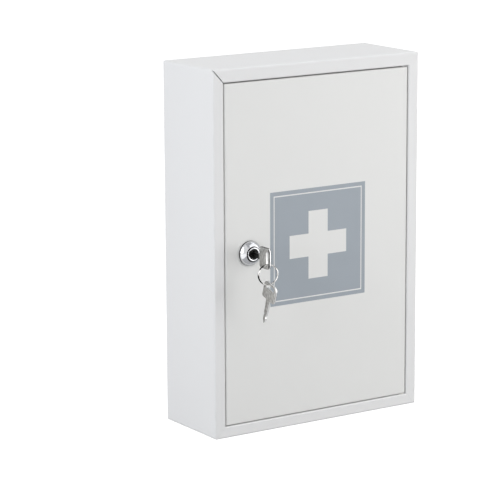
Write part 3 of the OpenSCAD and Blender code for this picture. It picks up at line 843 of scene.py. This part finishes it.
# Soft boxes: place, size, power in watts and shade. All but two are a little cool
SOFT_BOXES = {
    "soft_box_right": ((0.9, -0.9, 0.9), 1.6, 7.4, WHITE),
    "soft_box_right_low": ((0.8, -0.9, 0.05), 0.5, 4.3, WHITE),
    "soft_box_right_top": ((0.9, 0.3, 1.5), 0.9, 4.2, "FAFCFF"),
    "soft_box_left": ((-1.1, -0.3, 0.5), 0.6, 5.0, "F7FAFF"),
    "soft_box_left_top": ((-1.2, 0, 1.1), 0.6, 2.4, "F7FAFF"),
}

# Level cards that only mirrors see, as a photographer sets them round chrome: place, width, depth, shade
FLAGS = {
    "flag_above": ((1.0, -0.3, 1.75), 3.0, 3.8, "C6C7C9"),
    "flag_below": ((0.35, -0.27, 0.004), 1.2, 0.45, "C8C9CB"),
}

CAMERA_PLACE = (-1.18036, -1.73235, 0.58911)
CAMERA_TURN = math.radians(-33.2457)
CAMERA_TILT = math.radians(-11.8953)
CAMERA_ROLL = math.radians(0.2834)
# In millimetres, on a sensor 36 mm wide
CAMERA_LENS = 174.53
SENSOR_WIDTH = 36


def seen_directly(tree):
    """1 for a ray that the camera sends, straight or through a mirror or glass, else 0."""
    path = add(tree, "ShaderNodeLightPath").outputs
    mirrored = add(tree, "ShaderNodeMath", {
        0: path["Is Camera Ray"], 1: path["Is Glossy Ray"],
    }, operation="MAXIMUM")
    return add(tree, "ShaderNodeMath", {
        0: mirrored, 1: path["Is Transmission Ray"],
    }, operation="MAXIMUM")


def staged_card(name, width, depth):
    """A level card round its own middle, which isn't part of the object."""
    work = bmesh.new()
    bmesh.ops.create_grid(work, x_segments=1, y_segments=1, size=0.5)
    bmesh.ops.scale(work, vec=(width, depth, 1), verts=work.verts)
    card = put(name, mesh_of(work, name))
    return card


def studio_floor():
    """Pale floor that shows white and keeps the cabinet's shadow, and gives the object little light back."""
    floor = staged_card("floor", FLOOR_SIZE, FLOOR_SIZE)
    material, tree, _ = new_finish("pale_studio_floor")
    board = add(tree, "ShaderNodeBsdfDiffuse", {"Color": linear(FLOOR_SHADE)})
    glow = add(tree, "ShaderNodeEmission", {"Color": linear(WHITE), "Strength": FLOOR_GLOW})
    bright = add(tree, "ShaderNodeAddShader", {0: board, 1: glow})
    finish_surface(tree, add(tree, "ShaderNodeMixShader", {0: seen_directly(tree), 1: board, 2: bright}))
    floor.data.materials.append(material)


def studio_world():
    """White behind everything, and a plain pale light on the object."""
    world = bpy.data.worlds.new("studio")
    world.use_nodes = True
    tree = world.node_tree
    tree.nodes.clear()
    ambient = add(tree, "ShaderNodeBackground", {
        "Color": linear(AMBIENT_SHADE), "Strength": AMBIENT_STRENGTH,
    })
    white = add(tree, "ShaderNodeBackground", {"Color": linear(WHITE), "Strength": 1})
    mixed = add(tree, "ShaderNodeMixShader", {0: seen_directly(tree), 1: ambient, 2: white})
    add(tree, "ShaderNodeOutputWorld", {"Surface": mixed})
    bpy.context.scene.world = world


def aimed(place, target):
    """Matrix at a place, looking at a target."""
    turn = (Vector(target) - Vector(place)).to_track_quat("-Z", "Y")
    return Matrix.Translation(place) @ turn.to_matrix().to_4x4()


def studio_lights():
    for name, (place, size, power, shade) in SOFT_BOXES.items():
        light = bpy.data.lights.new(name, "AREA")
        light.size = size
        light.energy = power
        light.color = linear(shade)[:3]
        put(name, light).matrix_world = aimed(place, cabinet_middle)


def studio_flags():
    for name, (place, width, depth, shade) in FLAGS.items():
        flag = staged_card(name, width, depth)
        flag.location = place
        for ray in ("camera", "diffuse", "transmission", "volume_scatter", "shadow"):
            setattr(flag, "visible_" + ray, False)
        material, tree, _ = new_finish(name)
        finish_surface(tree, add(tree, "ShaderNodeEmission", {"Color": linear(shade), "Strength": 1}))
        flag.data.materials.append(material)


def photo_camera():
    lens = bpy.data.cameras.new("camera")
    lens.sensor_width = SENSOR_WIDTH
    lens.lens = CAMERA_LENS
    camera = put("camera", lens)
    camera.matrix_world = (
        Matrix.Translation(CAMERA_PLACE)
        @ Matrix.Rotation(CAMERA_TURN, 4, "Z")
        @ Matrix.Rotation(CAMERA_TILT, 4, "X")
        @ Matrix.Rotation(CAMERA_ROLL, 4, "Y")
        @ Matrix.Rotation(math.radians(90), 4, "X")
    )
    bpy.context.scene.camera = camera


bpy.context.scene.view_settings.view_transform = "Standard"
photo_camera()
studio_floor()
studio_world()
studio_lights()
studio_flags()
dress_cad_nodes()
lock_rosette()
threaded_nut()
keys()
split_ring()
coil_springs()
